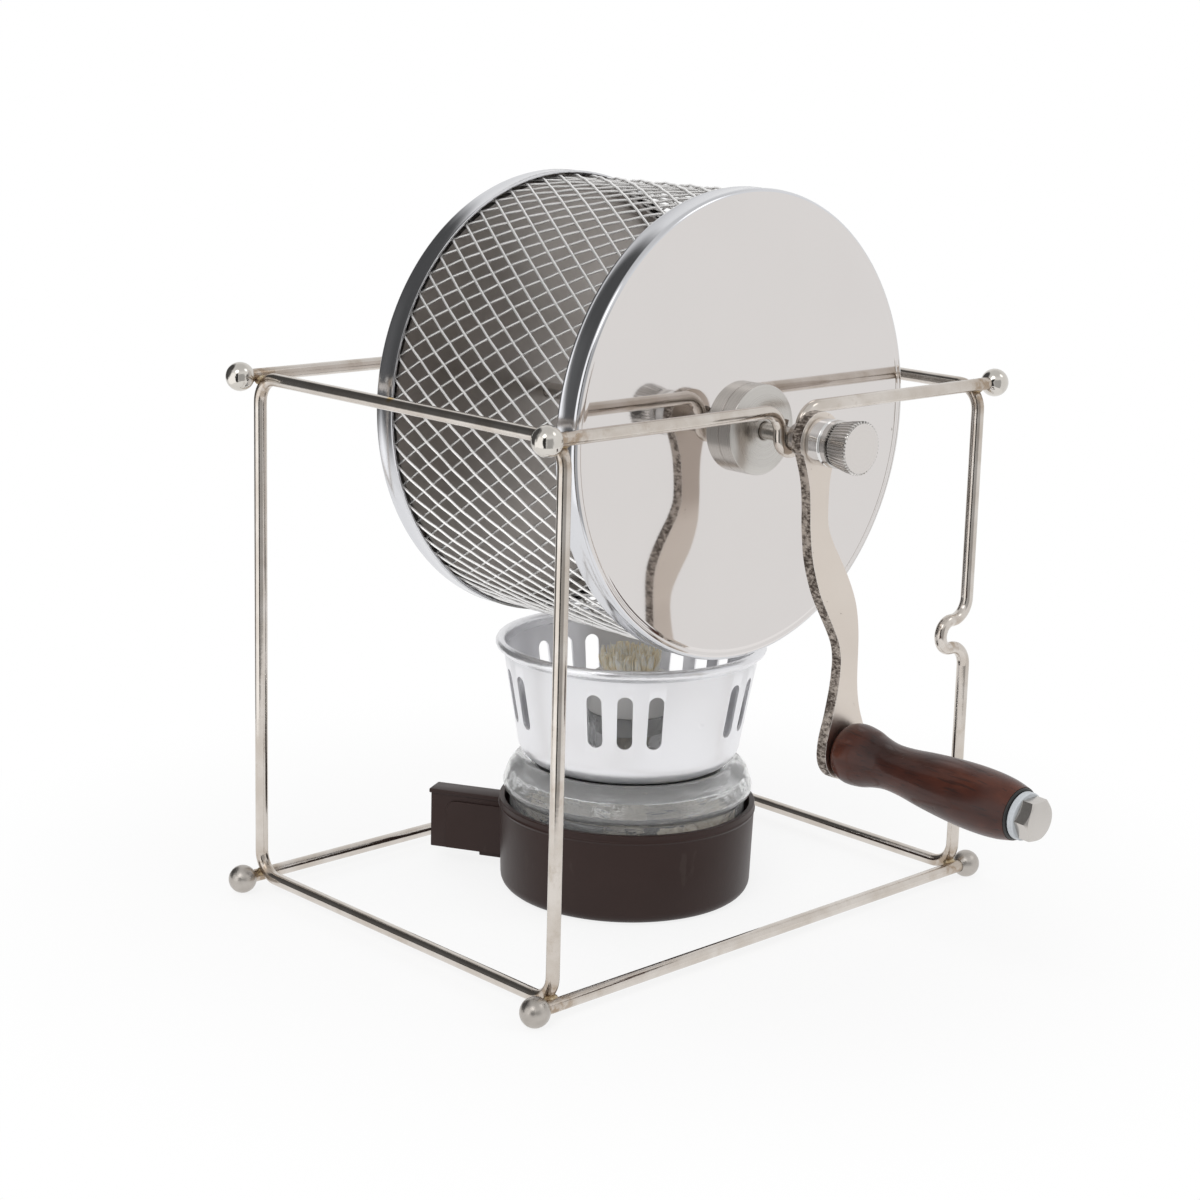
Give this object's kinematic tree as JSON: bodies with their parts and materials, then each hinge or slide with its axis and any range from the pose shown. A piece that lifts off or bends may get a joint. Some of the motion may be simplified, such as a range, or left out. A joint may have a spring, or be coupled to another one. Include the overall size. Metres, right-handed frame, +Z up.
{
  "type": "stovetop coffee bean roaster",
  "caption": "Hand cranked mesh drum for roasting coffee beans, carried on a bent wire frame above a spirit lamp with a glass bottle and a slotted wind guard.",
  "frame": {"origin": "on the table, at the middle of the wire frame, under the lamp's foot", "axes": "+X along the long rods of the frame, -Y towards the crank and its grip, +Z up"},
  "size_m": [0.1806, 0.2178, 0.2055],
  "materials": {
    "frame_rod": "polished nickel plate with slight wear",
    "ball": "polished nickel plate",
    "cover": "mirror polished sheet steel",
    "hub": "turned steel with fine rings",
    "axle": "drawn bright steel",
    "mesh": "bright drawn wire",
    "small_steel": "turned steel",
    "arm": "satin nickel faces, dark cut edges",
    "bright_ring": "polished",
    "nut": "satin with a knurled flank",
    "wood": "dark lacquered wood",
    "black_ring": "black",
    "washer": "pale grey",
    "bolt": "plated",
    "brown_plastic": "moulded, dark brown",
    "glass": "clear",
    "neck_rubber": "black",
    "holder": "pale unglazed ceramic",
    "wick": "braided fibre, frayed at the top",
    "guard": "satin spun aluminium"
  },
  "bodies": {
    "frame": {"left_loop": "frame_rod", "right_loop": "frame_rod", "top_rod_front": "frame_rod", "top_rod_rear": "frame_rod", "bottom_rod_front": "frame_rod", "bottom_rod_rear": "frame_rod", "corner_balls": "ball"},
    "drum": {"axle": "axle", "drum_mesh": "mesh", "mesh_hoops": "small_steel", "rear_cover": "cover", "rear_hub": "hub", "stop_screw": "small_steel", "crank_collar": "small_steel", "crank_arm": "arm", "spacer_ring": "bright_ring", "grip_bolt": "bolt", "grip_washer": "washer"},
    "front_lid": {"front_cover": "cover", "front_hub": "hub"},
    "crank_nut": {"thumb_nut": "nut"},
    "crank_grip": {"grip": "wood", "grip_ring": "black_ring"},
    "lamp": {"lamp_base": "brown_plastic"},
    "bottle": {"fuel_bottle": "glass", "neck_ring": "neck_rubber", "wick_holder": "holder"},
    "guard": {"wind_guard": "guard"},
    "wick_rope": {"wick": "wick"}
  },
  "joints": [
    {"name": "drum_turn", "type": "hinge", "parent": "frame", "child": "drum", "pos_m": [0, 0, 0.142], "axis": [0, 1, 0], "continuous": true},
    {"name": "lid_slide", "type": "slide", "parent": "drum", "child": "front_lid", "axis": [0, -1, 0], "range_m": [0, 0.0042]},
    {"name": "nut_turn", "type": "hinge", "parent": "drum", "child": "crank_nut", "pos_m": [0, -0.083, 0.142], "axis": [0, 1, 0], "continuous": true},
    {"name": "grip_turn", "type": "hinge", "parent": "drum", "child": "crank_grip", "pos_m": [0.00357, -0.0838, 0.06028], "axis": [0, -0.9987, -0.0506], "continuous": true},
    {"name": "lamp_slide", "type": "slide", "parent": "frame", "child": "lamp", "axis": [1, 0, 0], "range_m": [-0.03, 0.03]},
    {"name": "bottle_turn", "type": "hinge", "parent": "lamp", "child": "bottle", "pos_m": [0.0044, -0.0008, 0.0023], "axis": [0, 0, 1], "continuous": true},
    {"name": "guard_turn", "type": "hinge", "parent": "bottle", "child": "guard", "pos_m": [0.0044, -0.0008, 0.0381], "axis": [0, 0, 1], "continuous": true},
    {"name": "wick_lift", "type": "slide", "parent": "bottle", "child": "wick_rope", "axis": [0, 0, 1], "range_m": [0, 0.004]}
  ]
}
